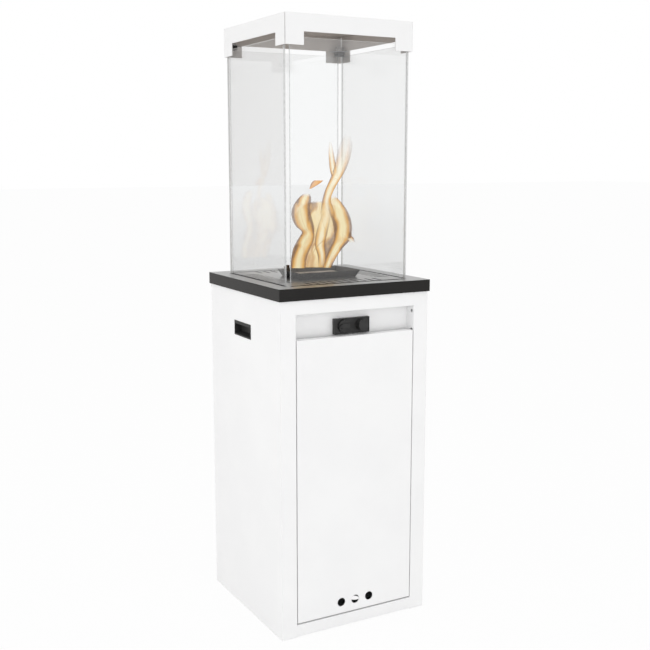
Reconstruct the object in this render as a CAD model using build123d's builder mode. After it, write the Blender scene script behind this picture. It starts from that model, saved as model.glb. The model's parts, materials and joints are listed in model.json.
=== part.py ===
from build123d import *
import os

# A square patio gas heater: a cylinder cabinet with a door and a control recess,
# a slotted deck with a burner bowl, and a glass chamber under a folded roof.
# Millimetres, floor at z = 0, front towards -Y, cabinet centred on the origin.

# Cabinet
width = 410.0
half = width / 2
sheet = 2.0
foot_gap = 1.0
cabinet_top = 835.0
stile = 40.0
return_depth = 45.0
rear_flange = 20.0
top_flange = 20.0
back_slot_z, back_slot_pitch = (70.0, 100.0, 130.0, 720.0, 750.0), 70.0
back_slot_length, back_slot_width = 50.0, 8.0
screw_levels = (60.0, 300.0, 540.0, 780.0)
screw_radius, screw_head, screw_head_height = 2.0, 4.0, 2.0
base_z = 10.0
vent_radius = 14.0
vent_x, vent_y = 60.0, 98.0
glide_radius, glide_side_in, glide_end_in = 18.0, 47.0, 65.0
stem_radius = 4.0

# Fits: how far a pin stands off its hole, and a piece off the one beside it
pin_fit = 0.05
screw_fit = 0.08
standoff = 0.3

# Control recess and the panel at its back
recess_bottom, recess_top = 740.0, 801.5
recess_depth = 32.0
service_hole = 4.2
service_y, service_z = 10.0, (739.8, 787.5)

# Door, with its pivot line inside the door's thickness
door_gap = 2.5
door_bottom, door_top = 36.5, recess_bottom
door_depth = 20.0
door_sheet = 1.5
door_half = half - stile - door_gap
pivot_in, pivot_back = 20.0, 9.0
door_hole, door_hole_z = 11.0, 65.0
door_holes_x = (-40.0, 0.0, 40.0)
hinge_z = (95.0, 690.0)
hinge_plate = 3.0
hinge_clear = 3.0
pin_radius, pin_head = 3.0, 3.5
arm_half = 5.0
ear_half, ear_sheet = 8.0, 1.0
eye_radius = 6.0
arm_back = 21.5
notch_gap = 3.0
rib_levels, rib_flange, rib_web = (240.0, 520.0), 30.0, 18.0
rib_side_in, rib_depth = 28.0, 12.0
magnet_z, magnet_size = (370.0, 420.0), (16.0, 13.0)
strike_leg, screw_land = (13.0, 14.0), 5.0

# Carry cups in the two sides
cup_y, cup_z = (-41.5, 55.0), (721.0, 758.0)
cup_wall, cup_lip = 2.0, 1.0
cup_depth = 17.0
cup_rise = 8.0
cup_hood = 8.0

# Deck, glass and its channels
tray_half = 209.0
deck_top = 864.3
tray_lip = 31.0
glass_out, glass_thick, glass_corner = 169.7, 5.0, 11.1
glass_bottom, glass_height = 850.0, 582.0
slot_inside, slot_outside = 7.0, 3.0
channel_sheet = 1.5
gasket_top = 858.0
vents_per_side, vent_pitch = 10, 21.6
vent_mid, vent_length, vent_width = 137.0, 44.0, 7.0

# Burner bowl, standing a little forward of centre
bowl_y = -14.0
bowl_rim, bowl_foot = (87.0, 61.0), (76.5, 55.0)
bowl_height, bowl_sheet = 17.3, 1.5
burner_size, burner_height = (112.0, 62.0), 8.0
port_pitch, port_radius, port_columns, port_rows = 9.0, 1.6, 11, 5
venturi_radius = 11.0
jet_length = 4.0
pipe_drop, jet_drop, pilot_drop = 22.0, 18.0, 36.0
pipe_sweep, pilot_sweep = 60.0, 40.0
supply_top, pilot_tap_top = 20.2, 18.2
pilot_x, pilot_y, pilot_top = -52.0, 58.0, 889.0

# Roof cap and its corner clamps
roof_overhang = 2.3
roof_band, tab_drop = 40.0, 30.0
pad_height = 11.0
tab_width = 48.5
seam = 1.2
clamp_leg, clamp_sheet = 40.0, 2.0
pad_in, pad_radius = 15.5, 13.0
nut_radius, nut_height = 11.0, 11.0

# Controls on the recess panel
bezel_half, bezel_z = 49.0, (742.0, 780.0)
bezel_depth, bezel_wall, bezel_recess = 10.5, 2.0, 1.5
control_z = 762.0
knob_x, knob_radius, knob_travel = -24.0, 14.75, 4.0
button_x, button_radius, button_proud, button_travel = 24.0, 13.0, 15.0, 5.0
ring_gap = 0.4
knob_wall, knob_grip = 2.5, 4.7
inlet_socket, tail_radius, tail_length, tail_tip = 5.0, 4.5, 20.0, 6.0
valve_foot, tail_nut, tail_neck = 7.5, 7.0, 7.5
pilot_tap_x = knob_x - 12.0
spindle_radius, neck_radius = 4.0, 7.0
igniter_radius, igniter_neck = 11.0, 8.5

# Levels and planes that several pieces share
glide_x, glide_y = half - glide_side_in, half - glide_end_in
glass_top = glass_bottom + glass_height
glass_half = glass_out - glass_corner
slot_in, slot_out = glass_out - slot_inside, glass_out + slot_outside
roof_half = glass_out + roof_overhang
pad_at = roof_half - pad_in
band_bottom = glass_top + pad_height + clamp_sheet
roof_top, tab_bottom = band_bottom + roof_band, band_bottom - tab_drop
front = -half
panel_y = front + recess_depth
bezel_front = panel_y - bezel_depth
face_y = bezel_front + bezel_recess
stile_in = half - stile
deck_under = deck_top - sheet
pivot_x, pivot_y = door_half - pivot_in, front + pivot_back
neck_front = panel_y - 4.0
valve_y = panel_y + 28.0
washer_y, washer_thick = bezel_front - 0.5, 1.0
spring_out, spring_in = spindle_radius + 2.6, spindle_radius + 1.0


def span(x, y, z, mode=Mode.ADD):
    """Box between two ends on each axis."""
    middle = [(pair[0] + pair[1]) / 2 for pair in (x, y, z)]
    size = [abs(pair[1] - pair[0]) for pair in (x, y, z)]
    with Locations(tuple(middle)):
        Box(*size, mode=mode)


def rod(radius, start, length, axis=(0, 0, 1), mode=Mode.ADD):
    """Cylinder that grows from start along axis."""
    grow = (Align.CENTER, Align.CENTER, Align.MIN)
    with Locations(Plane(origin=start, z_dir=axis)):
        Cylinder(radius, length, align=grow, mode=mode)


def both(pair, sign):
    """The two ends of a span, on the left for -1 and on the right for 1."""
    return tuple(sorted(sign * value for value in pair))


def save(part, name):
    part.label = name
    export_step(part, f"parts/{name}.step")


def pipe(name, points, radius, bore, bend):
    """Bent tube along a line of points."""
    with BuildLine() as route:
        FilletPolyline(*points, radius=bend)
    start = Plane(origin=route.line @ 0, z_dir=route.line % 0)
    with BuildPart() as tube:
        with BuildSketch(start):
            Circle(radius)
            Circle(bore, mode=Mode.SUBTRACT)
        sweep(path=route.line)
    save(tube.part, name)


# Cabinet body
def screw_places():
    """Back panel screws, down both edges."""
    across = half - rear_flange / 2
    return [(sign * across, level) for sign in (-1, 1) for level in screw_levels]


def cut_screws(radius):
    for x, z in screw_places():
        rod(radius, (x, half - 3 * sheet, z), 4 * sheet, (0, 1, 0), Mode.SUBTRACT)


def side_panel(sign, name):
    """Side, stile and flanges folded from one sheet."""
    edge = both((half - sheet, half), sign)
    level = (foot_gap, cabinet_top)
    with BuildPart() as side:
        span(edge, (front, half), level)
        span(both((stile_in, half), sign), (front, front + sheet), level)
        span(both((stile_in, stile_in + sheet), sign), (front, front + return_depth), level)
        span(both((half - rear_flange, half), sign), (half - 2 * sheet, half - sheet), level)
        span(both((half - top_flange, half), sign), (front, half - sheet),
             (cabinet_top - sheet, cabinet_top))
        span(both((half - rear_flange, half), sign), (front + return_depth, half - sheet),
             (base_z - sheet, base_z))
        span(edge, (cup_y[0] + cup_lip, cup_y[1] - cup_lip),
             (cup_z[0] + cup_lip, cup_z[1] - cup_lip), Mode.SUBTRACT)
        if sign > 0:
            for height in service_z:
                rod(service_hole, (stile_in - sheet, front + service_y, height), 3 * sheet,
                    (1, 0, 0), Mode.SUBTRACT)
        cut_screws(2 + screw_fit)
    save(side.part, name)


def back_panel():
    """Back sheet with two rows of air slots."""
    wide = half - sheet - 0.1
    with BuildPart() as back:
        span((-wide, wide), (half - sheet, half), (foot_gap, cabinet_top))
        for height in back_slot_z:
            with BuildSketch(Plane.XZ.offset(-half)):
                with GridLocations(back_slot_pitch, 1, 4, 1), Locations((0, height)):
                    SlotOverall(back_slot_length, back_slot_width)
            extrude(amount=2 * sheet, mode=Mode.SUBTRACT)
        cut_screws(screw_radius + screw_fit)
    save(back.part, "back_panel")


def back_screws():
    with BuildPart() as screws:
        for x, z in screw_places():
            rod(screw_radius, (x, half - 4 * sheet, z), 4 * sheet, (0, 1, 0))
            rod(screw_head, (x, half, z), screw_head_height, (0, 1, 0))
    save(screws.part, "back_screws")


def top_rail():
    """Front rail, with the cabinet's front lip and the recess ceiling."""
    with BuildPart() as rail:
        span((-stile_in, stile_in), (front, front + sheet), (recess_top, cabinet_top))
        span((-stile_in, stile_in), (front, front + top_flange),
             (cabinet_top - sheet, cabinet_top))
        span((-stile_in, stile_in), (front, panel_y), (recess_top, recess_top + sheet))
    save(rail.part, "top_rail")


def bottom_rail():
    low, high = foot_gap + sheet, door_bottom - 4
    with BuildPart() as rail:
        span((-stile_in, stile_in), (front, front + sheet), (low, high))
        span((-stile_in, stile_in), (front, front + door_depth), (high - sheet, high))
    save(rail.part, "bottom_rail")


def base_plate():
    """Floor of the cylinder bay, with its air holes and glide sockets."""
    inner = half - sheet - 0.2
    with BuildPart() as base:
        span((-inner, inner), (front + return_depth + 0.2, half - 2 * sheet - 0.2),
             (base_z, base_z + sheet))
        span((-stile_in + 0.2, stile_in - 0.2), (front + sheet, 0), (base_z, base_z + sheet))
        for x in (-vent_x, vent_x):
            for y in (-vent_y, vent_y):
                rod(vent_radius, (x, y, base_z - 1), 2 * sheet, mode=Mode.SUBTRACT)
        for x in (-glide_x, glide_x):
            for y in (-glide_y, glide_y):
                rod(stem_radius + pin_fit, (x, y, base_z - 1), 2 * sheet, mode=Mode.SUBTRACT)
    save(base.part, "base_plate")


def floor_glides():
    with BuildPart() as glides:
        for x in (-glide_x, glide_x):
            for y in (-glide_y, glide_y):
                rod(glide_radius, (x, y, 0), base_z)
                rod(stem_radius, (x, y, base_z), 2 * sheet + 1)
    save(glides.part, "floor_glides")


def control_strip():
    """Panel at the back of the recess that carries the valve and igniter."""
    with BuildPart() as strip:
        span((-stile_in, stile_in), (panel_y, panel_y + sheet),
             (recess_bottom - 12, recess_top + sheet))
        rod(neck_radius + screw_fit, (knob_x, panel_y - 1, control_z), 2 * sheet,
            (0, 1, 0), Mode.SUBTRACT)
        rod(igniter_neck + screw_fit, (button_x, panel_y - 1, control_z), 2 * sheet,
            (0, 1, 0), Mode.SUBTRACT)
    save(strip.part, "control_strip")


def carry_cup(sign, name):
    """Finger cup with a hood over the grip and a floor that rises inwards."""
    wall = cup_wall
    back = half - cup_depth - wall
    floor_in = cup_z[0] + cup_rise
    y = (cup_y[0] + cup_lip + 0.2, cup_y[1] - cup_lip - 0.2)
    low, high = cup_z[0] + cup_lip + 0.2, cup_z[1] - cup_lip - 0.2
    with BuildPart() as cup:
        span(both((back, half + cup_lip), sign), y, (low, high))
        span(both((half, half + cup_lip), sign), cup_y, cup_z)
        with BuildSketch(Plane.XZ.offset(-(y[0] + wall))):
            with BuildLine():
                Polyline((sign * (half + 2 * cup_lip), low + wall),
                         (sign * (back + wall), floor_in),
                         (sign * (back + wall), high - wall),
                         (sign * (half - cup_hood), high - wall),
                         (sign * (half - cup_hood), cup_z[1] - cup_hood),
                         (sign * (half + 2 * cup_lip), cup_z[1] - cup_hood), close=True)
            make_face()
        extrude(amount=-(y[1] - y[0] - 2 * wall), mode=Mode.SUBTRACT)
    save(cup.part, name)


def heat_shield():
    """Plate that hangs under the deck and keeps its heat off the cylinder bay."""
    reach, top = half - top_flange - 0.9, cabinet_top
    low, ahead = top - 7, front + return_depth + 1
    with BuildPart() as shield:
        span((-reach, reach), (ahead, reach), (low, top))
        span((-reach + 1.5, reach - 1.5), (ahead + 1.5, reach - 1.5), (low + 1.5, top),
             Mode.SUBTRACT)
        rod(venturi_radius + 3, (0, bowl_y, low - 1), 4, mode=Mode.SUBTRACT)
        for x, y, radius in pilot_passes():
            rod(radius + 3, (x, y, low - 1), 4, mode=Mode.SUBTRACT)
    save(shield.part, "heat_shield")


# Door and its hinges
def door_panel():
    """Door pan with three air holes and a notch for each hinge arm."""
    inner = door_half - door_sheet
    rear = front + door_depth
    with BuildPart() as door:
        span((-door_half, door_half), (front, rear), (door_bottom, door_top))
        span((-inner, inner), (front + door_sheet, rear),
             (door_bottom + door_sheet, door_top - door_sheet), Mode.SUBTRACT)
        for x in door_holes_x:
            rod(door_hole, (x, front - 1, door_hole_z), 2 * door_sheet, (0, 1, 0),
                Mode.SUBTRACT)
        for level in hinge_z:
            span((inner - 1, door_half + 1), (front + door_sheet, rear),
                 (level - notch_gap, level + hinge_plate + notch_gap), Mode.SUBTRACT)
    save(door.part, "door_panel")


def door_stiffener():
    """Two hat channels across the back of the door sheet."""
    reach = door_half - door_sheet - rib_side_in
    skin = front + door_sheet
    with BuildPart() as ribs:
        for level in rib_levels:
            web = rib_web - door_sheet
            span((-reach, reach), (skin, skin + door_sheet),
                 (level - rib_flange, level + rib_flange))
            span((-reach, reach), (skin, skin + rib_depth), (level - rib_web, level + rib_web))
            span((-reach, reach), (skin - 1, skin + rib_depth - door_sheet),
                 (level - web, level + web), Mode.SUBTRACT)
    save(ribs.part, "door_stiffener")


def ear_levels(level):
    """Bottom of the two ears that stand off the hinge arm."""
    return (level - hinge_clear - hinge_plate, level + hinge_plate + hinge_clear)


def door_hinge_ears():
    skin = front + door_sheet
    with BuildPart() as ears:
        for level in hinge_z:
            low, high = ear_levels(level)
            span((pivot_x - ear_half, pivot_x + ear_half), (skin, skin + ear_sheet),
                 (low, high + hinge_plate))
            for foot in (low, high):
                span((pivot_x - ear_half, pivot_x + ear_half), (skin, pivot_y + eye_radius),
                     (foot, foot + hinge_plate))
                rod(pin_radius + pin_fit / 2, (pivot_x, pivot_y, foot - 1), 2 * hinge_plate,
                    mode=Mode.SUBTRACT)
    save(ears.part, "door_hinge_ears")


def door_hinge_pins():
    with BuildPart() as pins:
        for level in hinge_z:
            low, high = ear_levels(level)
            rod(pin_radius, (pivot_x, pivot_y, low - pin_head), high + hinge_plate - low + pin_head)
            rod(pin_radius + 1.5, (pivot_x, pivot_y, low - pin_head), pin_head)
    save(pins.part, "door_hinge_pins")


def hinge_arms():
    """Cranked arms that reach from the cabinet into the door."""
    near = pivot_y + arm_back
    far = near + 2 * arm_half
    with BuildPart() as arms:
        for level in hinge_z:
            top = level + hinge_plate
            rod(eye_radius, (pivot_x, pivot_y, level), hinge_plate)
            span((pivot_x - arm_half, pivot_x + arm_half), (pivot_y, far), (level, top))
            span((pivot_x, stile_in), (near, far), (level, top))
            span((stile_in - hinge_plate, stile_in), (near, far), (level - 12, top + 12))
            rod(pin_radius + pin_fit, (pivot_x, pivot_y, level - 1), 2 * hinge_plate,
                mode=Mode.SUBTRACT)
    save(arms.part, "hinge_arms")


def door_catch():
    """Magnet on the cabinet and the strike angle on the door."""
    rear, edge = front + door_depth, -(door_half - door_sheet)
    with BuildPart() as magnet:
        span((-stile_in, -stile_in + magnet_size[0]),
             (rear + standoff, rear + magnet_size[1]), magnet_z)
    save(magnet.part, "door_magnet")
    with BuildPart() as strike:
        level = (magnet_z[0] - screw_land, magnet_z[1] + screw_land)
        span((edge, edge + door_sheet), (rear - strike_leg[1], rear), level)
        span((edge, edge + strike_leg[0]), (rear - door_sheet, rear), level)
    save(strike.part, "strike_plate")


# Controls
def control_bezel():
    """Black box over the recess panel with a sunk face."""
    x, z = bezel_half, bezel_z
    wall = bezel_wall
    with BuildPart() as bezel:
        span((-x, x), (bezel_front, panel_y), z)
        span((-x + wall, x - wall), (bezel_front, face_y), (z[0] + wall, z[1] - wall),
             Mode.SUBTRACT)
        span((-x + wall, x - wall), (face_y + wall, panel_y), (z[0] + wall, z[1] - wall),
             Mode.SUBTRACT)
        for at, radius in ((knob_x, knob_radius), (button_x, button_radius)):
            rod(radius + ring_gap, (at, face_y - 1, control_z), wall + 2, (0, 1, 0),
                Mode.SUBTRACT)
    save(bezel.part, "control_bezel")


def gas_knob():
    """Round knob with a raised grip that points left when the gas is off."""
    disc, rear = bezel_front - 3, face_y + bezel_wall
    grip = ((-13.5, -1.0), (-5.0, -5.5), (13.0, -5.5), (13.0, 5.5), (-5.0, 5.5), (-13.5, 1.0))
    with BuildPart() as knob:
        rod(knob_radius, (knob_x, disc, control_z), rear - disc, (0, 1, 0))
        rod(knob_radius - 2, (knob_x, disc + knob_wall, control_z), rear - disc, (0, 1, 0),
            Mode.SUBTRACT)
        with BuildSketch(Plane.XZ.offset(-disc)):
            with BuildLine():
                Polyline(*[(knob_x + x, control_z + z) for x, z in grip], close=True)
            make_face()
        extrude(amount=knob_grip)
        rod(spindle_radius + 2, (knob_x, disc + 1, control_z), washer_y - disc - 1, (0, 1, 0))
        rod(spindle_radius + pin_fit / 2, (knob_x, bezel_front - 4, control_z), 20, (0, 1, 0),
            Mode.SUBTRACT)
    save(knob.part, "gas_knob")


def knob_spindle():
    """Brass stem of the tap, keyed to the knob and sliding in the valve."""
    start = bezel_front - 4
    with BuildPart() as spindle:
        rod(spindle_radius, (knob_x, start, control_z), valve_y - 6 - start, (0, 1, 0))
    save(spindle.part, "knob_spindle")


def knob_washer():
    """Thrust washer between the knob and its spring."""
    with BuildPart() as washer:
        rod(spring_out + 1, (knob_x, washer_y, control_z), washer_thick, (0, 1, 0))
        rod(spindle_radius + 2 * screw_fit, (knob_x, washer_y - 1, control_z), 4, (0, 1, 0),
            Mode.SUBTRACT)
    save(washer.part, "knob_washer")


def hidden_spring(name, x, outer, inner, rear, fore):
    """Spring out of sight, kept as a plain sleeve."""
    with BuildPart() as sleeve:
        rod(outer, (x, fore, control_z), rear - fore, (0, 1, 0))
        rod(inner, (x, fore - 1, control_z), rear - fore + 2, (0, 1, 0), Mode.SUBTRACT)
    save(sleeve.part, name)


def gas_valve():
    """Tap body clamped to the panel by its neck."""
    behind = panel_y + sheet
    with BuildPart() as valve:
        rod(neck_radius, (knob_x, neck_front, control_z), valve_y - neck_front, (0, 1, 0))
        span((knob_x - 19, knob_x + 19), (behind, behind + 4), (control_z - 17, control_z + 17))
        rod(13, (knob_x, behind, control_z), valve_y - 4 - behind, (0, 1, 0))
        span((knob_x - 13, knob_x + 13), (behind + 8, valve_y + 8),
             (control_z - 15, control_z + 15))
        rod(6, (knob_x, valve_y, control_z + 14), 6)
        rod(4.5, (pilot_tap_x, valve_y, control_z + 14), 4)
        rod(spindle_radius + screw_fit, (knob_x, neck_front - 1, control_z),
            valve_y - neck_front, (0, 1, 0), Mode.SUBTRACT)
        rod(inlet_socket + screw_fit / 2, (knob_x, valve_y, control_z - 15.5), 8.5,
            mode=Mode.SUBTRACT)
    save(valve.part, "gas_valve")


def valve_nut():
    with BuildPart() as nut:
        with BuildSketch(Plane.XZ.offset(-neck_front - 1)):
            with Locations((knob_x, control_z)):
                RegularPolygon(11, 6)
                Circle(neck_radius + screw_fit, mode=Mode.SUBTRACT)
        extrude(amount=-(panel_y - neck_front - 1))
    save(nut.part, "valve_nut")


def gas_inlet():
    """Hose tail under the valve, where the regulator's hose goes on."""
    top, nut = control_z - valve_foot, control_z - valve_foot - tail_nut - tail_neck
    with BuildPart() as tail:
        rod(inlet_socket, (knob_x, valve_y, nut), top - nut)
        with BuildSketch(Plane.XY.offset(nut)):
            with Locations((knob_x, valve_y)):
                RegularPolygon(9, 6)
        extrude(amount=tail_nut)
        rod(tail_radius, (knob_x, valve_y, nut - tail_length), tail_length)
        with Locations(Plane((knob_x, valve_y, nut - tail_length - tail_tip))):
            Cone(tail_radius - 1, tail_radius, tail_tip,
                 align=(Align.CENTER, Align.CENTER, Align.MIN))
        rod(2.5, (knob_x, valve_y, nut - tail_length - tail_tip - 1), tail_length + 15,
            mode=Mode.SUBTRACT)
    save(tail.part, "gas_inlet")


def igniter_button():
    """Round push button, a cup over the igniter's neck."""
    fore, rear = bezel_front - button_proud, face_y + bezel_wall
    with BuildPart() as button:
        rod(button_radius, (button_x, fore, control_z), rear + 1.2 - fore, (0, 1, 0))
        rod(button_radius + 1.4, (button_x, rear + 0.2, control_z), 1.0, (0, 1, 0))
        rod(button_radius - 1.8, (button_x, fore + 2, control_z), 40, (0, 1, 0),
            Mode.SUBTRACT)
    save(button.part, "igniter_button")


def igniter_body():
    """Spark generator behind the panel, its neck inside the button."""
    behind = panel_y + sheet
    with BuildPart() as igniter:
        rod(igniter_neck, (button_x, panel_y - 12, control_z), 12 + sheet, (0, 1, 0))
        rod(igniter_radius, (button_x, behind, control_z), 46, (0, 1, 0))
        rod(3, (button_x, behind + 46, control_z), 9, (0, 1, 0))
    save(igniter.part, "igniter_body")


# Gas train and burner
def pilot_passes():
    """Where the pilot pipe and the two probes go through, with their radius."""
    return ((pilot_x, pilot_y, 2.0), (pilot_x - 9, pilot_y, 1.6), (pilot_x + 9, pilot_y, 1.6))


def gas_pipes():
    mid, pilot_mid = cabinet_top - pipe_drop, cabinet_top - pilot_drop
    pipe("supply_pipe", [(knob_x, valve_y, control_z + supply_top), (knob_x, valve_y, mid),
                         (0, valve_y + pipe_sweep, mid), (0, bowl_y, mid),
                         (0, bowl_y, cabinet_top - jet_drop)],
         4, 3, 3.5)
    pipe("pilot_pipe", [(pilot_tap_x, valve_y, control_z + pilot_tap_top),
                        (pilot_tap_x, valve_y, pilot_mid),
                        (pilot_x, valve_y + pilot_sweep, pilot_mid),
                        (pilot_x, pilot_y, pilot_mid), (pilot_x, pilot_y, deck_top + 2)],
         2, 1.2, 8)


def injector():
    """Hex jet holder on the end of the supply pipe, inside the venturi's mouth."""
    low = cabinet_top - jet_drop
    with BuildPart() as jet:
        with BuildSketch(Plane.XY.offset(low)):
            with Locations((0, bowl_y)):
                RegularPolygon(7, 6)
        extrude(amount=8)
        rod(5, (0, bowl_y, low + 8), jet_length)
        rod(0.8, (0, bowl_y, low - 1), 40, mode=Mode.SUBTRACT)
    save(jet.part, "injector")


def venturi():
    """Mixing tube between the jet and the burner, with four air windows."""
    low, high = cabinet_top - 10, deck_top + bowl_sheet
    with BuildPart() as tube:
        rod(venturi_radius, (0, bowl_y, low), high - low)
        rod(venturi_radius - 1.5, (0, bowl_y, low - 1), high - low + 2, mode=Mode.SUBTRACT)
        rod(venturi_radius, (0, bowl_y, low), 2)
        rod(5 + screw_fit / 2, (0, bowl_y, low - 1), 4, mode=Mode.SUBTRACT)
        for turn in (0, 90):
            with Locations(Plane((0, bowl_y, low + 10)) * Rot(0, 0, turn)):
                Box(40, 8, 9, mode=Mode.SUBTRACT)
    save(tube.part, "venturi")


def bowl_outline(level, inset):
    """Outline of the flared bowl at one level, inset from its outer faces."""
    rise = (level - deck_top) / bowl_height
    with BuildSketch(Plane.XY.offset(level)) as outline:
        with Locations((0, bowl_y)):
            Rectangle(*[2 * (foot + (rim - foot) * rise - inset)
                        for foot, rim in zip(bowl_foot, bowl_rim)])
    return outline.sketch.face()


def burner_bowl():
    with BuildPart() as bowl:
        loft([bowl_outline(deck_top, 0), bowl_outline(deck_top + bowl_height, 0)])
        loft([bowl_outline(deck_top + bowl_sheet, bowl_sheet),
              bowl_outline(deck_top + bowl_height + 1, bowl_sheet)], mode=Mode.SUBTRACT)
        rod(venturi_radius + screw_fit, (0, bowl_y, deck_top - 1), 2 * bowl_sheet + 1,
            mode=Mode.SUBTRACT)
    save(bowl.part, "burner_bowl")


def burner():
    """Low box in the bowl with a grid of flame ports."""
    low = deck_top + bowl_sheet
    wide, deep = burner_size[0] / 2, burner_size[1] / 2
    y = (bowl_y - deep, bowl_y + deep)
    with BuildPart() as head:
        span((-wide, wide), y, (low, low + burner_height))
        span((-wide + 1.5, wide - 1.5), (y[0] + 1.5, y[1] - 1.5),
             (low + 1.5, low + burner_height - 1.5), Mode.SUBTRACT)
        rod(venturi_radius - 1.5, (0, bowl_y, low - 1), 4, mode=Mode.SUBTRACT)
        with BuildSketch(Plane.XY.offset(low + burner_height)):
            with Locations((0, bowl_y)):
                with GridLocations(port_pitch, port_pitch, port_columns, port_rows):
                    Circle(port_radius)
        extrude(amount=-2, mode=Mode.SUBTRACT)
    save(head.part, "burner")


def pilot_group():
    """Pilot hood on its foot, with the spark electrode and the thermocouple."""
    with BuildPart() as hood:
        span((pilot_x - 14, pilot_x + 14), (pilot_y - 6, pilot_y + 6),
             (deck_top, deck_top + 2))
        rod(4.5, (pilot_x, pilot_y, deck_top), pilot_top - deck_top)
        rod(3, (pilot_x, pilot_y, pilot_top - 8), 6, mode=Mode.SUBTRACT)
        rod(2 + screw_fit, (pilot_x, pilot_y, deck_top - 1), 4, mode=Mode.SUBTRACT)
        span((pilot_x - 2, pilot_x + 2), (pilot_y - 8, pilot_y), (pilot_top - 7, pilot_top - 3),
             Mode.SUBTRACT)
        for x in (pilot_x - 9, pilot_x + 9):
            rod(1.6 + screw_fit, (x, pilot_y, deck_top - 1), 4, mode=Mode.SUBTRACT)
    save(hood.part, "pilot_hood")
    for name, x in (("thermocouple", pilot_x - 9), ("ignition_electrode", pilot_x + 9)):
        with BuildPart() as probe:
            rod(1.6, (x, pilot_y, cabinet_top), pilot_top - 3 - cabinet_top)
            rod(2.6, (x, pilot_y, cabinet_top + 2), deck_under - cabinet_top - 2)
        save(probe.part, name)


# Deck and glass
def deck_tray():
    """Slotted deck with folded skirts that stands on the cabinet."""
    with BuildPart() as tray:
        span((-tray_half, tray_half), (-tray_half, tray_half), (cabinet_top, deck_top))
        span((-tray_half + sheet, tray_half - sheet), (-tray_half + sheet, tray_half - sheet),
             (cabinet_top + sheet, deck_under), Mode.SUBTRACT)
        span((-tray_half + tray_lip, tray_half - tray_lip),
             (-tray_half + tray_lip, tray_half - tray_lip),
             (cabinet_top - 1, cabinet_top + sheet + 1), Mode.SUBTRACT)
        for turn in range(4):
            with BuildSketch(Plane.XY.offset(deck_top) * Rot(0, 0, 90 * turn)):
                with Locations((0, -vent_mid)):
                    with GridLocations(vent_pitch, 1, vents_per_side, 1):
                        SlotOverall(vent_length, vent_width, rotation=90)
                with Locations((0, -(slot_in + slot_out) / 2)):
                    Rectangle(2 * glass_half + 2, slot_out - slot_in)
            extrude(amount=-2 * sheet, mode=Mode.SUBTRACT)
        rod(venturi_radius + 3, (0, bowl_y, deck_under - 1), 2 * sheet, mode=Mode.SUBTRACT)
        for x, y, radius in pilot_passes():
            rod(radius + screw_fit, (x, y, deck_under - 1), 2 * sheet, mode=Mode.SUBTRACT)
    save(tray.part, "deck_tray")


SIDES = ("front", "back", "left", "right")


def wall(side, reach, out, z, mode=Mode.ADD):
    """Box along one side of the chamber, out between two distances from the middle."""
    sign = -1 if side in ("front", "left") else 1
    if side in ("front", "back"):
        span((-reach, reach), both(out, sign), z, mode)
    else:
        span(both(out, sign), (-reach, reach), z, mode)


def glass_channels():
    """Channel welded under each slot of the deck."""
    reach = glass_half + 0.9
    for side in SIDES:
        with BuildPart() as channel:
            wall(side, reach, (slot_in - channel_sheet, slot_out + channel_sheet),
                 (glass_bottom - 3.5, deck_under))
            wall(side, reach + 1, (slot_in, slot_out), (glass_bottom - 2, deck_under + 1),
                 Mode.SUBTRACT)
        save(channel.part, f"glass_channel_{side}")


def glass_gaskets():
    """Rubber bed that holds each pane in its channel."""
    glass_in = glass_out - glass_thick
    for side in SIDES:
        with BuildPart() as bed:
            wall(side, glass_half, (slot_in, slot_out), (glass_bottom - 2, gasket_top))
            wall(side, glass_half + 1, (glass_in, glass_out), (glass_bottom, gasket_top + 1),
                 Mode.SUBTRACT)
        save(bed.part, f"glass_gasket_{side}")


def glass_panes():
    for side in SIDES:
        with BuildPart() as pane:
            wall(side, glass_half, (glass_out - glass_thick, glass_out),
                 (glass_bottom, glass_top))
        save(pane.part, f"glass_{side}")


# Roof
def roof_cap():
    """Folded cap with a band, four corner tabs and open mitred seams."""
    inner, open_half = roof_half - sheet, roof_half - tab_width
    with BuildPart() as roof:
        span((-roof_half, roof_half), (-roof_half, roof_half), (tab_bottom, roof_top))
        span((-inner, inner), (-inner, inner), (tab_bottom - 1, roof_top - sheet),
             Mode.SUBTRACT)
        for side in SIDES:
            wall(side, open_half, (inner - 1, roof_half + 1), (tab_bottom - 1, band_bottom),
                 Mode.SUBTRACT)
        for turn in (45, 135):
            with Locations(Plane((0, 0, tab_bottom - 1)) * Rot(0, 0, turn)):
                Box(3 * roof_half, seam, roof_top - sheet - tab_bottom + 1, mode=Mode.SUBTRACT,
                    align=(Align.CENTER, Align.CENTER, Align.MIN))
    save(roof.part, "roof_cap")


def corners():
    return [(x, y) for x in (-1, 1) for y in (-1, 1)]


def corner_clamps():
    """Gusset across each roof corner, its pad on the glass and its nut on top."""
    inner, low = roof_half - sheet, glass_top + pad_height
    with BuildPart() as gussets:
        for x, y in corners():
            with BuildSketch(Plane.XY.offset(low)):
                with BuildLine():
                    Polyline((x * inner, y * inner), (x * (inner - clamp_leg), y * inner),
                             (x * inner, y * (inner - clamp_leg)), close=True)
                make_face()
            extrude(amount=clamp_sheet)
            rod(3 + screw_fit, (x * pad_at, y * pad_at, low - 1), 2 * clamp_sheet,
                mode=Mode.SUBTRACT)
    save(gussets.part, "corner_gussets")
    with BuildPart() as pads:
        for x, y in corners():
            rod(pad_radius, (x * pad_at, y * pad_at, glass_top), pad_height)
            rod(3 + screw_fit, (x * pad_at, y * pad_at, glass_top + 3), pad_height,
                mode=Mode.SUBTRACT)
    save(pads.part, "glass_pads")
    with BuildPart() as nuts:
        for x, y in corners():
            rod(nut_radius, (x * pad_at, y * pad_at, low + clamp_sheet), nut_height)
            rod(3, (x * pad_at, y * pad_at, glass_top + 4), low + clamp_sheet - glass_top)
    save(nuts.part, "clamp_screws")


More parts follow.
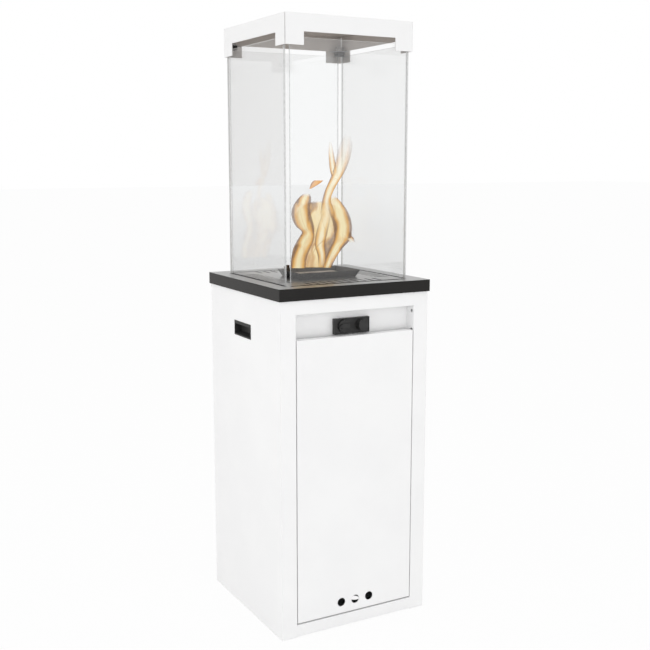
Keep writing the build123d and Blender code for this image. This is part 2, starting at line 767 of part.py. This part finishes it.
os.makedirs("parts", exist_ok=True)
side_panel(-1, "side_panel_left")
side_panel(1, "side_panel_right")
back_panel()
back_screws()
top_rail()
bottom_rail()
base_plate()
floor_glides()
control_strip()
carry_cup(-1, "carry_cup_left")
carry_cup(1, "carry_cup_right")
heat_shield()
door_panel()
door_stiffener()
door_hinge_ears()
door_hinge_pins()
hinge_arms()
door_catch()
control_bezel()
gas_knob()
knob_spindle()
knob_washer()
hidden_spring("knob_spring", knob_x, spring_out, spring_in, neck_front, washer_y + washer_thick)
gas_valve()
valve_nut()
gas_inlet()
igniter_button()
igniter_body()
hidden_spring("button_spring", button_x, igniter_neck + 2.2, igniter_neck + 0.5, panel_y,
              bezel_front - button_proud + 2)
gas_pipes()
injector()
venturi()
burner_bowl()
burner()
pilot_group()
deck_tray()
glass_channels()
glass_gaskets()
glass_panes()
roof_cap()
corner_clamps()
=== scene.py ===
import json
import math
import random

import bpy
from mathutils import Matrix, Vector


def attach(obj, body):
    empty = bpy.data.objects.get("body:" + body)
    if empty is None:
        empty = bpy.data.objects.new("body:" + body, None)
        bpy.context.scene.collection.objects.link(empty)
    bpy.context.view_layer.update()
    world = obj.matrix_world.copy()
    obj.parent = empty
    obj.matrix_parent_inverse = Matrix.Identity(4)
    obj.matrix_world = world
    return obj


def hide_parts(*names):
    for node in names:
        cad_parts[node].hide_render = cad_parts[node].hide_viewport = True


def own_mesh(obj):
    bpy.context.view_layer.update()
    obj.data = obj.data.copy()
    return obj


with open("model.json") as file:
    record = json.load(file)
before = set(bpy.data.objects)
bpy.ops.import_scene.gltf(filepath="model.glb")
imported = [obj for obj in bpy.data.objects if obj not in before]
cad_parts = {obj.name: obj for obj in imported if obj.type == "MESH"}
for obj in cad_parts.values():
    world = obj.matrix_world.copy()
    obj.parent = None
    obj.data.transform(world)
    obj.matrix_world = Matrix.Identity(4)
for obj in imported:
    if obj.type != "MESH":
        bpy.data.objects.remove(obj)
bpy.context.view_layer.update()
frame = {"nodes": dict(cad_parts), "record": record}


# Shader sockets as expressions
class Wire:
    """A socket in one material. Arithmetic on wires adds Math nodes."""

    def __init__(self, tree, socket):
        self.tree, self.socket = tree, socket

    def node(self, kind, inputs=None, out=0, **settings):
        """Adds a node, sets it up, fills its inputs, and gives one output."""
        made = self.tree.nodes.new(kind)
        stops = settings.pop("stops", None)
        for key, value in settings.items():
            setattr(made, key, value)
        if stops:
            ramp = made.color_ramp.elements
            while len(ramp) < len(stops):
                ramp.new(0.5)
            for stop, (at, colour) in zip(ramp, stops):
                stop.position, stop.color = at, (*colour, 1)
        for key, value in (inputs or {}).items():
            if isinstance(value, Wire):
                self.tree.links.new(value.socket, made.inputs[key])
            else:
                made.inputs[key].default_value = value
        return Wire(self.tree, made.outputs[out])

    def math(self, operation, *values, clamp=False):
        return self.node("ShaderNodeMath", dict(enumerate(values)), operation=operation,
                         use_clamp=clamp)

    def __add__(self, other):
        return self.math("ADD", self, other)

    def __sub__(self, other):
        return self.math("SUBTRACT", self, other)

    def __rsub__(self, other):
        return self.math("SUBTRACT", other, self)

    def __mul__(self, other):
        return self.math("MULTIPLY", self, other)

    __radd__, __rmul__ = __add__, __mul__

    def clamp(self):
        return self.math("ADD", self, 0.0, clamp=True)

    def band(self, low, high):
        """0 below low, 1 above high, smooth between."""
        return self.node("ShaderNodeMapRange", {0: self, 1: low, 2: high, 3: 0.0, 4: 1.0},
                         interpolation_type="SMOOTHSTEP")

    def mix(self, dark, light):
        """The first colour where this is 0, the second where it is 1."""
        def colour(value):
            return value if isinstance(value, Wire) else (*value, 1)
        return self.node("ShaderNodeMix", {0: self, 6: colour(dark), 7: colour(light)}, out=2,
                         data_type="RGBA")

    def ramp(self, *stops):
        """Colours at places from 0 to 1."""
        return self.node("ShaderNodeValToRGB", {0: self}, stops=stops)

    def reach(self, index):
        """Distance from the middle along one axis."""
        return self.math("ABSOLUTE", self.axis(index))

    def axis(self, index):
        return self.node("ShaderNodeSeparateXYZ", {0: self}, out=index)

    def noise(self, scale, detail=3.0, rough=0.5, squeeze=None):
        """Cloudy noise, about 0 to 1, on this place. Squeeze multiplies the place along
        each axis, so less than 1 draws the noise out.
        """
        place = self
        if squeeze:
            place = self.node("ShaderNodeVectorMath", {0: self, 1: squeeze},
                              operation="MULTIPLY")
        return self.node("ShaderNodeTexNoise", {"Vector": place, "Scale": scale,
                                                "Detail": detail, "Roughness": rough})

    def bump(self, height_m, strength=1.0, edge=0.0006):
        """Raises the surface where this is high. Edge rounds the corners, in metres."""
        corner = self.node("ShaderNodeBevel", {"Radius": edge}, samples=6)
        return self.node("ShaderNodeBump", {"Height": self, "Distance": height_m,
                                            "Strength": strength, "Normal": corner})


class Finish:
    """A material under way: its place on the object and its Principled shader."""

    def __init__(self, name):
        self.material = bpy.data.materials.new(name)
        self.material.use_nodes = True
        self.tree = self.material.node_tree
        self.tree.nodes.clear()
        start = Wire(self.tree, None)
        self.place = start.node("ShaderNodeTexCoord", out=3)
        self.shader = start.node("ShaderNodeBsdfPrincipled")
        self.end = self.tree.nodes.new("ShaderNodeOutputMaterial")
        self.finish_with(self.shader)

    def finish_with(self, shader):
        self.tree.links.new(shader.socket, self.end.inputs["Surface"])

    def set(self, **values):
        """Fills the shader's sockets, with _ for each space in their names."""
        bsdf = self.shader.socket.node
        for key, value in values.items():
            socket = bsdf.inputs[key.replace("_", " ")]
            if isinstance(value, Wire):
                self.tree.links.new(value.socket, socket)
            elif isinstance(value, tuple) and len(value) == 3:
                socket.default_value = (*value, 1)
            else:
                socket.default_value = value


# Where finishes change: the low and high end of each blend, in metres
BOWL_PAINTED_SHADE = 0.868, 0.884        # height of the painted shade's fade, from low in the bowl to just over its rim
DECK_FACE = 0.8640, 0.8642      # height, just under the deck's face
PANE_END = 0.15845, 0.15855     # from the middle, just short of a pane's two ends
CAP_WALL = 0.1702, 0.1706       # from the middle, within the thickness of the wall
CAP_CEILING = 1.4832, 1.4836    # height, within the thickness of the top sheet
CAP_BROWNING_AND_SHADE = 0.05, 0.17       # from the middle, where the browning and the painted shade thin out

PEEL_DEPTH = 0.00004            # orange peel of the powder coat, in metres


# Finishes
def powder_coat(name, colour, shade, rough):
    """Baked powder coat: orange-peel skin and faint clouding."""
    f = Finish(name)
    skin = f.place.noise(900, 2, 0.6)
    cloud = f.place.noise(6, 4, 0.55)
    rub = f.place.noise(38, 5, 0.65, (1, 1, 0.35))
    f.set(Base_Color=cloud.band(0.35, 0.7).mix(shade, colour),
          Roughness=rough + (rub - 0.5) * 0.16, Normal=skin.bump(PEEL_DEPTH, 0.5))
    return f.material


def moulded_plastic(name, colour, shade, rough):
    """Fine spark-eroded grain with a slight sheen where hands go."""
    f = Finish(name)
    grain = f.place.noise(2600, 2, 0.7)
    touch = f.place.noise(55, 4, 0.6)
    f.set(Base_Color=touch.band(0.3, 0.75).mix(shade, colour),
          Roughness=rough + (touch - 0.5) * 0.2, Normal=grain.bump(0.00006, 0.6))
    return f.material


def metal(name, colour, shade, rough, grain=(1, 1, 0.04), scale=700):
    """Bare metal with rolled or turned grain and dull patches."""
    f = Finish(name)
    lines = f.place.noise(scale, 3, 0.6, grain)
    patch = f.place.noise(24, 4, 0.6)
    f.set(Base_Color=(patch * 0.6 + lines * 0.4).band(0.3, 0.7).mix(shade, colour),
          Metallic=1.0, Roughness=rough + (lines - 0.5) * 0.2 + (patch - 0.5) * 0.15,
          Normal=lines.bump(0.00003, 0.5))
    return f.material


def zinc_plate(name):
    """Zinc-plated sheet with its crystal spangle."""
    f = Finish(name)
    cells = f.place.node("ShaderNodeTexVoronoi", {"Vector": f.place, "Scale": 90.0})
    spangle = cells.band(0.0, 0.75)
    dull = f.place.noise(14, 4, 0.6)
    f.set(Base_Color=spangle.mix((0.42, 0.43, 0.45), (0.62, 0.63, 0.65)), Metallic=1.0,
          Roughness=0.34 + (spangle - 0.5) * 0.14 + (dull - 0.5) * 0.2,
          Normal=dull.bump(0.0001, 0.2))
    return f.material


def hot_steel(name):
    """Stainless steel tinted straw, bronze and blue by the flame."""
    f = Finish(name)
    warmth = f.place.noise(32, 4, 0.6) * 0.7 + f.place.noise(160, 3, 0.5) * 0.3
    tint = warmth.ramp((0.30, (0.30, 0.28, 0.25)), (0.45, (0.26, 0.19, 0.11)),
                       (0.56, (0.16, 0.10, 0.06)), (0.68, (0.11, 0.11, 0.14)))
    f.set(Base_Color=tint, Metallic=1.0, Roughness=0.38 + (warmth - 0.5) * 0.3,
          Normal=f.place.noise(600, 2).bump(0.00004, 0.4))
    return f.material


def soft_rubber(name):
    """Dark seal rubber, chalky with age."""
    f = Finish(name)
    chalk = f.place.noise(60, 5, 0.65)
    f.set(Base_Color=chalk.band(0.35, 0.8).mix((0.022, 0.022, 0.022), (0.075, 0.073, 0.07)),
          Roughness=0.72 + (chalk - 0.5) * 0.3,
          Normal=f.place.noise(1500, 2).bump(0.00008, 0.5))
    return f.material


def bowl_enamel(name):
    """Matt black enamel, darker low down with painted shade and greyer near the rim, and speckled
    with soot.
    """
    f = Finish(name)
    out_of_painted_shade = f.place.axis(2).band(*BOWL_PAINTED_SHADE)
    soot = f.place.noise(90, 5, 0.7)
    # Painted shade: darker low on the bowl and lighter towards its rim, mixed with the soot
    grey = (soot * 0.7 + out_of_painted_shade * 0.3).band(0.3, 0.85)
    f.set(Base_Color=grey.mix((0.014, 0.014, 0.014), (0.045, 0.043, 0.041)),
          Roughness=0.5 + (soot - 0.5) * 0.3, Normal=soot.bump(0.00012, 0.4))
    return f.material


def clear_glass(name):
    """Toughened pane: clear faces that mirror the flame, and ground edges."""
    f = Finish(name)
    smear = f.place.noise(5, 4, 0.6, (1, 1, 0.5))
    f.set(Base_Color=(0.97, 0.975, 0.975), Metallic=1.0,
          Roughness=smear.band(0.55, 0.85) * 0.03)
    clear = f.place.node("ShaderNodeBsdfTransparent", {"Color": (0.985, 0.987, 0.987, 1)})
    slant = f.place.node("ShaderNodeLayerWeight", {"Blend": 0.5}, out=1)
    # Schlick's curve, strengthened, and more so where the pane is smeared
    mirror = (slant.math("POWER", slant, 5.0) * 0.96 + 0.042) * (1.75 + smear * 0.4)
    face = f.place.node("ShaderNodeMixShader", {0: mirror.clamp(), 1: clear, 2: f.shader})
    frost = f.place.noise(120, 3).band(0.3, 0.7)
    ground = f.place.node("ShaderNodeBsdfPrincipled", {
        "Base Color": frost.mix((0.50, 0.51, 0.51), (0.66, 0.67, 0.67)),
        "Roughness": 0.35, "Alpha": 0.72})
    near = f.place.math("MINIMUM", f.place.reach(0), f.place.reach(1))
    edge = near.band(*PANE_END)
    f.finish_with(f.place.node("ShaderNodeMixShader", {0: edge, 1: face, 2: ground}))
    return f.material


def tray_enamel(name):
    """Black enamel, with the deck's face dulled by the fire's warmth and dust, and painted lighter
    for its grazing sheen.
    """
    f = Finish(name)
    deck = f.place.axis(2).band(*DECK_FACE)
    dust = f.place.noise(22, 5, 0.65)
    speck = f.place.noise(700, 2, 0.6)
    lip = dust.mix((0.004, 0.0035, 0.003), (0.008, 0.007, 0.0065))
    # Painted sheen: the deck's face is painted many times lighter than the lip, for the sheen it
    # shows at a grazing angle, clouded by real dust
    top = dust.band(0.3, 0.7).mix((0.045, 0.044, 0.043), (0.075, 0.074, 0.072))
    f.set(Base_Color=deck.mix(lip, top),
          Roughness=0.17 + deck * 0.22 + (dust - 0.5) * 0.12, Coat_Weight=deck,
          Coat_Roughness=0.3, Normal=speck.bump(0.00001, 0.4))
    return f.material


def roof_coat(name):
    """The white coat, with flame browning and painted shade on the inside of the cap."""
    f = Finish(name)
    skin = f.place.noise(900, 2, 0.6)
    cloud = f.place.noise(9, 4, 0.6)
    wide = f.place.math("MAXIMUM", f.place.reach(0), f.place.reach(1))
    inside = (1.0 - wide.band(*CAP_WALL)) * (1.0 - f.place.axis(2).band(*CAP_CEILING))
    # Painted shade and flame browning: the cap's inside is painted brown-grey, darkest over the
    # middle
    brown = (1.0 - wide.band(*CAP_BROWNING_AND_SHADE)) * 0.5 + cloud * 0.5
    browned_and_shaded = brown.mix((0.58, 0.54, 0.51), (0.36, 0.31, 0.28))
    f.set(Base_Color=inside.mix((0.885, 0.885, 0.885), browned_and_shaded),
          Roughness=0.34 + (cloud - 0.5) * 0.16, Normal=skin.bump(PEEL_DEPTH, 0.5))
    return f.material


white = powder_coat("white_powder_coat", (0.93, 0.93, 0.93), (0.91, 0.91, 0.912), 0.34)
roof_white = roof_coat("roof_powder_coat")
tray_black = tray_enamel("tray_enamel")
bowl_black = bowl_enamel("bowl_enamel")
control_black = moulded_plastic("control_plastic", (0.032, 0.032, 0.031),
                                (0.020, 0.020, 0.020), 0.44)
dark_case = moulded_plastic("case_plastic", (0.05, 0.05, 0.055), (0.03, 0.03, 0.03), 0.3)
zinc = zinc_plate("zinc_plate")
bright = metal("bright_steel", (0.66, 0.66, 0.66), (0.5, 0.5, 0.51), 0.24)
stainless = hot_steel("tinted_stainless")
brass = metal("turned_brass", (0.78, 0.58, 0.26), (0.60, 0.42, 0.17), 0.26, (1, 1, 1), 300)
drawn = metal("drawn_aluminium", (0.78, 0.79, 0.80), (0.62, 0.63, 0.64), 0.3)
rubber = soft_rubber("heat_rubber")
glass = clear_glass("toughened_glass")

FINISH_OF_SLOT = {
    "white_paint": white, "black_paint": tray_black, "black_enamel": bowl_black,
    "black_plastic": control_black, "glass_clear": glass, "grey_rubber": rubber,
    "zinc_steel": zinc, "bright_steel": bright, "stainless": stainless,
    "brass_fittings": brass, "aluminium_pipe": drawn, "dark_parts": dark_case,
}

for entry in frame["record"]["subparts"]:
    node = frame["nodes"][entry["node"]]
    node.data.materials.clear()
    node.data.materials.append(roof_white if entry["node"] == "roof_cap"
                               else FINISH_OF_SLOT[entry["material_slot"]])


def add(piece, finish=None):
    """Puts an object in the scene, with its finish."""
    if finish:
        piece.data.materials.append(finish)
    bpy.context.scene.collection.objects.link(piece)


# Springs: name, joint, x, fixed end, free end, coil radius, wire radius, turns, travel
CONTROL_Z = 0.762
SPRINGS = (
    ("knob_spring", "knob_push", -0.024, -0.177, -0.183, 0.0058, 0.0005, 3, 0.004),
    ("button_spring", "button_press", 0.024, -0.173, -0.1965, 0.00985, 0.0007, 7, 0.005),
)
WIRE_SIDES, PER_TURN = 8, 28


def coil_mesh(name, x, fixed, free, radius, wire, turns):
    """Wire wound round the control's axis, inside the length the spring has at rest."""
    points, faces = [], []
    steps = turns * PER_TURN
    start, length = fixed - wire, free - fixed + 2 * wire
    for step in range(steps + 1):
        turn = 2 * math.pi * step / PER_TURN
        out = Vector((math.cos(turn), 0, math.sin(turn)))
        middle = Vector((x, start + length * step / steps, CONTROL_Z)) + out * radius
        for side in range(WIRE_SIDES):
            around = 2 * math.pi * side / WIRE_SIDES
            points.append(middle + out * math.cos(around) * wire
                          + Vector((0, math.sin(around) * wire, 0)))
    for step in range(steps):
        for side in range(WIRE_SIDES):
            a, b = (step * WIRE_SIDES + n for n in (side, (side + 1) % WIRE_SIDES))
            faces.append((a, b, b + WIRE_SIDES, a + WIRE_SIDES))
    faces.append(tuple(reversed(range(WIRE_SIDES))))
    faces.append(tuple(steps * WIRE_SIDES + side for side in range(WIRE_SIDES)))
    mesh = bpy.data.meshes.new(name)
    mesh.from_pydata(points, [], faces)
    mesh.update()
    return mesh


for node, joint, x, fixed, free, radius, wire, turns, travel in SPRINGS:
    spring = bpy.data.objects.new(f"{node}_coil",
                                  coil_mesh(f"{node}_coil", x, fixed, free, radius, wire, turns))
    add(spring, bright)
    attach(spring, "cabinet")
    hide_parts(node)
    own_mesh(spring)


# Camera, solved from the photograph's corners: place in metres, angles in radians,
# lens and sensor in millimetres, the photograph's side in pixels
EYE = Vector((-1.2068, -2.2307, 1.1563))
TURN, DOWN = math.radians(28.93), math.radians(9.42)
LENS, SENSOR, PHOTO = 54.94, 36.0, 650
ACROSS = Vector((math.cos(TURN), -math.sin(TURN), 0))
DEEP = Vector((math.sin(TURN), math.cos(TURN), 0))
AHEAD = DEEP * math.cos(DOWN) - Vector((0, 0, math.sin(DOWN)))
UP = ACROSS.cross(AHEAD)

camera = bpy.data.objects.new("camera", bpy.data.cameras.new("camera"))
camera.data.lens, camera.data.sensor_width = LENS, SENSOR
camera.location = EYE
camera.rotation_euler = AHEAD.to_track_quat("-Z", "Y").to_euler()
add(camera)
bpy.context.scene.camera = camera
BURNER = Vector((0.0, -0.014, 0.0))


def on_fire_plane(u, v):
    """The point that a photo pixel shows on the upright plane through the burner."""
    ray = AHEAD + (ACROSS * (u - PHOTO / 2) - UP * (v - PHOTO / 2)) * SENSOR / PHOTO / LENS
    return EYE + ray * ((BURNER - EYE).dot(DEEP) / ray.dot(DEEP))


# Flame: tongues of burning gas, each a spine of photo pixels with its half-width
TONGUES = {
    "mass": [(309, 268, 19), (311, 258, 20), (315, 249, 22.5), (320, 243, 23.5), (326, 237, 27),
             (326, 231, 24.5), (324, 226, 26), (322, 218, 28), (320, 210, 23),
             (319, 205, 15), (318, 201, 4)],
    "left": [(298, 268, 8), (299, 258, 8), (302, 248, 9), (306, 239, 8.5), (308, 232, 6.5),
             (305, 226, 9.5), (302, 218, 10.5), (301, 209, 9.5), (304, 200, 7.5), (307, 193, 3.5)],
    "stream": [(322, 268, 4), (322, 256, 4.5), (320, 244, 5.5), (322, 232, 6), (325, 220, 5.5),
               (328, 210, 4)],
    "tall": [(329, 224, 9), (327.5, 210, 7), (326.5, 200, 4.5), (329.5, 190, 4.6),
             (334, 181, 5.2), (338, 173, 6.2), (341.5, 164, 7), (344, 154, 7.5), (346, 144, 6.5),
             (347, 134, 3)],
    "right": [(327, 268, 4.5), (331, 258, 5.5), (336, 249, 6.5), (342, 240, 8.5), (343, 231, 9.5),
              (342, 222, 10), (339, 213, 10), (335, 204, 8), (332, 196, 3.5)],
    "hook": [(341, 234, 7), (348, 238, 6), (353, 243, 2.5)],
    "wisp": [(336, 181, 3), (333.5, 171, 3.6), (332, 161, 3.2), (331, 151, 2.6), (330, 141, 1)],
    "ember": [(310, 189, 0.8), (313, 186, 3), (316.5, 182.5, 5), (319, 180.5, 4.4),
              (321.5, 181.5, 1)],
}
# Sheets: faces across and between marks, lengths in metres, radians for each row
COLUMNS, STEPS = 12, 6
SWAY, MASS_BACK = 0.012, 0.016
CURL, CURL_PER_ROW = 0.004, 0.35
SIDE_SHARE = 0.7


def smooth_run(marks):
    """Points between the marks on one smooth curve through all of them."""
    ends = [marks[0], *marks, marks[-1]]
    run = []
    for a, b, c, d in zip(ends, ends[1:], ends[2:], ends[3:]):
        for step in range(STEPS):
            t = step / STEPS
            run.append([(2 * q + (r - p) * t + (2 * p - 5 * q + 4 * r - w) * t * t
                         + (3 * q - p - 3 * r + w) * t ** 3) / 2
                        for p, q, r, w in zip(a, b, c, d)])
    return run + [list(marks[-1])]


def tongue_mesh(name, marks):
    """Two crossed sheets on one spine, the one in depth narrower by SIDE_SHARE. The
    attribute depth is 0 at the rim and 1 on the spine.
    """
    run = smooth_run(marks)
    sway = random.Random(name)
    phase, offset = sway.uniform(0, 6), DEEP * sway.uniform(-SWAY, SWAY)
    if name == "flame_mass":
        offset = DEEP * MASS_BACK
    points, faces, depth, along = [], [], [], []
    for side, share in ((ACROSS, 1), (DEEP, SIDE_SHARE)):
        first = len(points)
        for row, (u, v, wide) in enumerate(run):
            middle = on_fire_plane(u, v) + offset
            reach = ACROSS.dot(on_fire_plane(u + wide, v) - middle) * share
            curl = DEEP * CURL * math.sin(phase + row * CURL_PER_ROW)
            for column in range(COLUMNS + 1):
                t = 2 * column / COLUMNS - 1
                points.append(middle + side * t * reach + curl * (1 - t * t))
                depth.append(1 - abs(t))
                along.append(row / (len(run) - 1))
        for row in range(len(run) - 1):
            for column in range(COLUMNS):
                a = first + row * (COLUMNS + 1) + column
                faces.append((a, a + 1, a + COLUMNS + 2, a + COLUMNS + 1))
    mesh = bpy.data.meshes.new(name)
    mesh.from_pydata(points, [], faces)
    for label, values in (("depth", depth), ("along", along)):
        mesh.attributes.new(label, "FLOAT", "POINT").data.foreach_set("value", values)
    mesh.update()
    return mesh


def flame_finish(name, rim, body, core, thick, fade, creased=0.0, rise=0.001):
    """Burning gas: brown rim, cream core, dark creases along it, faint at its tip."""
    f = Finish(name)
    depth = f.place.node("ShaderNodeAttribute", attribute_name="depth", out=2)
    along = f.place.node("ShaderNodeAttribute", attribute_name="along", out=2)
    streak = f.place.noise(30, 3, 0.5, (1, 1, 0.36))
    curtain = f.place.noise(19, 2, 0.4, (1, 1, 0.45)) - 0.5
    crease = 1.0 - curtain.math("ABSOLUTE", curtain).band(0.0, 0.085)
    inner = (depth + (streak - 0.5) * 0.8 - crease * creased).clamp()
    solid = depth.band(0.0, 0.12) * (0.84 + streak.band(0.35, 0.65) * 0.16)
    f.set(Base_Color=(0.0, 0.0, 0.0), Specular_IOR_Level=0.0, Roughness=1.0,
          Emission_Color=inner.ramp((0.08, rim), (0.36, body), (0.78, core)),
          Emission_Strength=1.0,
          Alpha=(solid * along.band(0.0, rise) * thick
                 * (1.0 - along.band(0.4, 1.0) * fade) * (1.0 - along.band(0.92, 1.0))))
    return f.material


GLOW = {
    "bright": flame_finish("flame_bright", (0.17, 0.065, 0.008), (0.80, 0.39, 0.05),
                           (1.0, 0.88, 0.52), thick=0.95, fade=0.1, creased=0.25),
    "thin": flame_finish("flame_thin", (0.26, 0.10, 0.012), (0.84, 0.43, 0.07),
                         (1.0, 0.92, 0.66), thick=0.97, fade=0.9, creased=0.1, rise=0.22),
    "soft": flame_finish("flame_soft", (0.26, 0.12, 0.02), (0.66, 0.34, 0.06),
                         (0.98, 0.78, 0.40), thick=0.97, fade=0.1, creased=0.5),
    "ember": flame_finish("flame_ember", (0.32, 0.12, 0.015), (0.74, 0.28, 0.03),
                          (0.88, 0.44, 0.09), thick=1.0, fade=0.2),
}
GLOW_OF_TONGUE = {"mass": "soft", "tall": "thin", "wisp": "thin", "hook": "thin",
                  "stream": "thin", "ember": "ember"}

for tongue, marks in TONGUES.items():
    name = f"flame_{tongue}"
    piece = bpy.data.objects.new(name, tongue_mesh(name, marks))
    piece.visible_shadow = False
    add(piece, GLOW[GLOW_OF_TONGUE.get(tongue, "bright")])
    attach(piece, "cabinet")

# Floor, backdrop and light: white to the camera, greyer where mirrored
FLOOR_HALF = 40.0
FLOOR_FADE = 1.5, 26.0
FLOOR_GLOW = 0.93
floor = bpy.data.objects.new("floor", bpy.data.meshes.new("floor"))
floor.data.from_pydata([(x * FLOOR_HALF, y * FLOOR_HALF, 0)
                        for x, y in ((-1, -1), (1, -1), (1, 1), (-1, 1))], [], [(0, 1, 2, 3)])


def rays(root):
    """Three wires, each 1 or 0: from the camera, off a glossy face, transmitted."""
    return [root.node("ShaderNodeLightPath", out=f"Is {kind} Ray")
            for kind in ("Camera", "Glossy", "Transmission")]


paper = Finish("pale_floor")
cloud = paper.place.noise(3, 3).band(0.2, 0.8)
paper.set(Base_Color=cloud.mix((0.84, 0.84, 0.84), (0.86, 0.86, 0.86)), Roughness=0.9,
          Specular_IOR_Level=0.1)
seen, mirror, through = rays(paper.place)
far = paper.place.reach(1).band(*FLOOR_FADE)
mirrored = far.mix((0.50, 0.49, 0.48), (0.78, 0.78, 0.78))
plain = paper.place.node("ShaderNodeEmission", {
    "Color": mirror.mix((1.0, 1.0, 1.0), mirrored), "Strength": 1.0})
bare = (seen + mirror + through).clamp() * FLOOR_GLOW
paper.finish_with(paper.place.node("ShaderNodeMixShader", {0: bare, 1: paper.shader, 2: plain}))
add(floor, paper.material)

world = bpy.data.worlds.new("studio")
bpy.context.scene.world = world
world.use_nodes = True
sky = world.node_tree
sky.nodes.clear()
start = Wire(sky, None)
seen, mirror, through = rays(start)
way = start.node("ShaderNodeTexCoord", out=0)
dim = (0.0 - way.axis(0)).band(0.05, 0.4) * way.axis(1).band(0.0, 0.3)
room = dim.mix((1.0, 1.0, 1.0), (0.58, 0.56, 0.55))
light = start.node("ShaderNodeBackground", {"Color": (1.0, 1.0, 1.0, 1), "Strength": 0.87})
shine = start.node("ShaderNodeBackground", {"Color": room, "Strength": 1.0})
back = start.node("ShaderNodeBackground", {"Color": (1.0, 1.0, 1.0, 1), "Strength": 1.0})
lit = start.node("ShaderNodeMixShader", {0: mirror, 1: light, 2: shine})
shown = start.node("ShaderNodeMixShader", {0: (seen + through).clamp(), 1: lit, 2: back})
out = sky.nodes.new("ShaderNodeOutputWorld")
sky.links.new(shown.socket, out.inputs["Surface"])


def soft_box(name, place, aim, size, watts):
    """Square area light that mirrors and transmitting faces don't show."""
    lamp = bpy.data.lights.new(name, "AREA")
    lamp.shape, lamp.size, lamp.energy = "SQUARE", size, watts
    holder = bpy.data.objects.new(name, lamp)
    holder.location = place
    holder.rotation_euler = (Vector(aim) - Vector(place)).to_track_quat("-Z", "Y").to_euler()
    holder.visible_glossy = False
    holder.visible_transmission = False
    add(holder)


soft_box("key_light", (-0.7, -3.8, 1.3), (0, 0, 0.7), 2.6, 21)
soft_box("left_light", (-3.8, -0.3, 1.3), (0, 0, 0.7), 2.6, 27)
soft_box("top_light", (0.6, -0.6, 3.6), (0, 0, 1.4), 2.0, 8)

bpy.context.scene.view_settings.view_transform = "Standard"
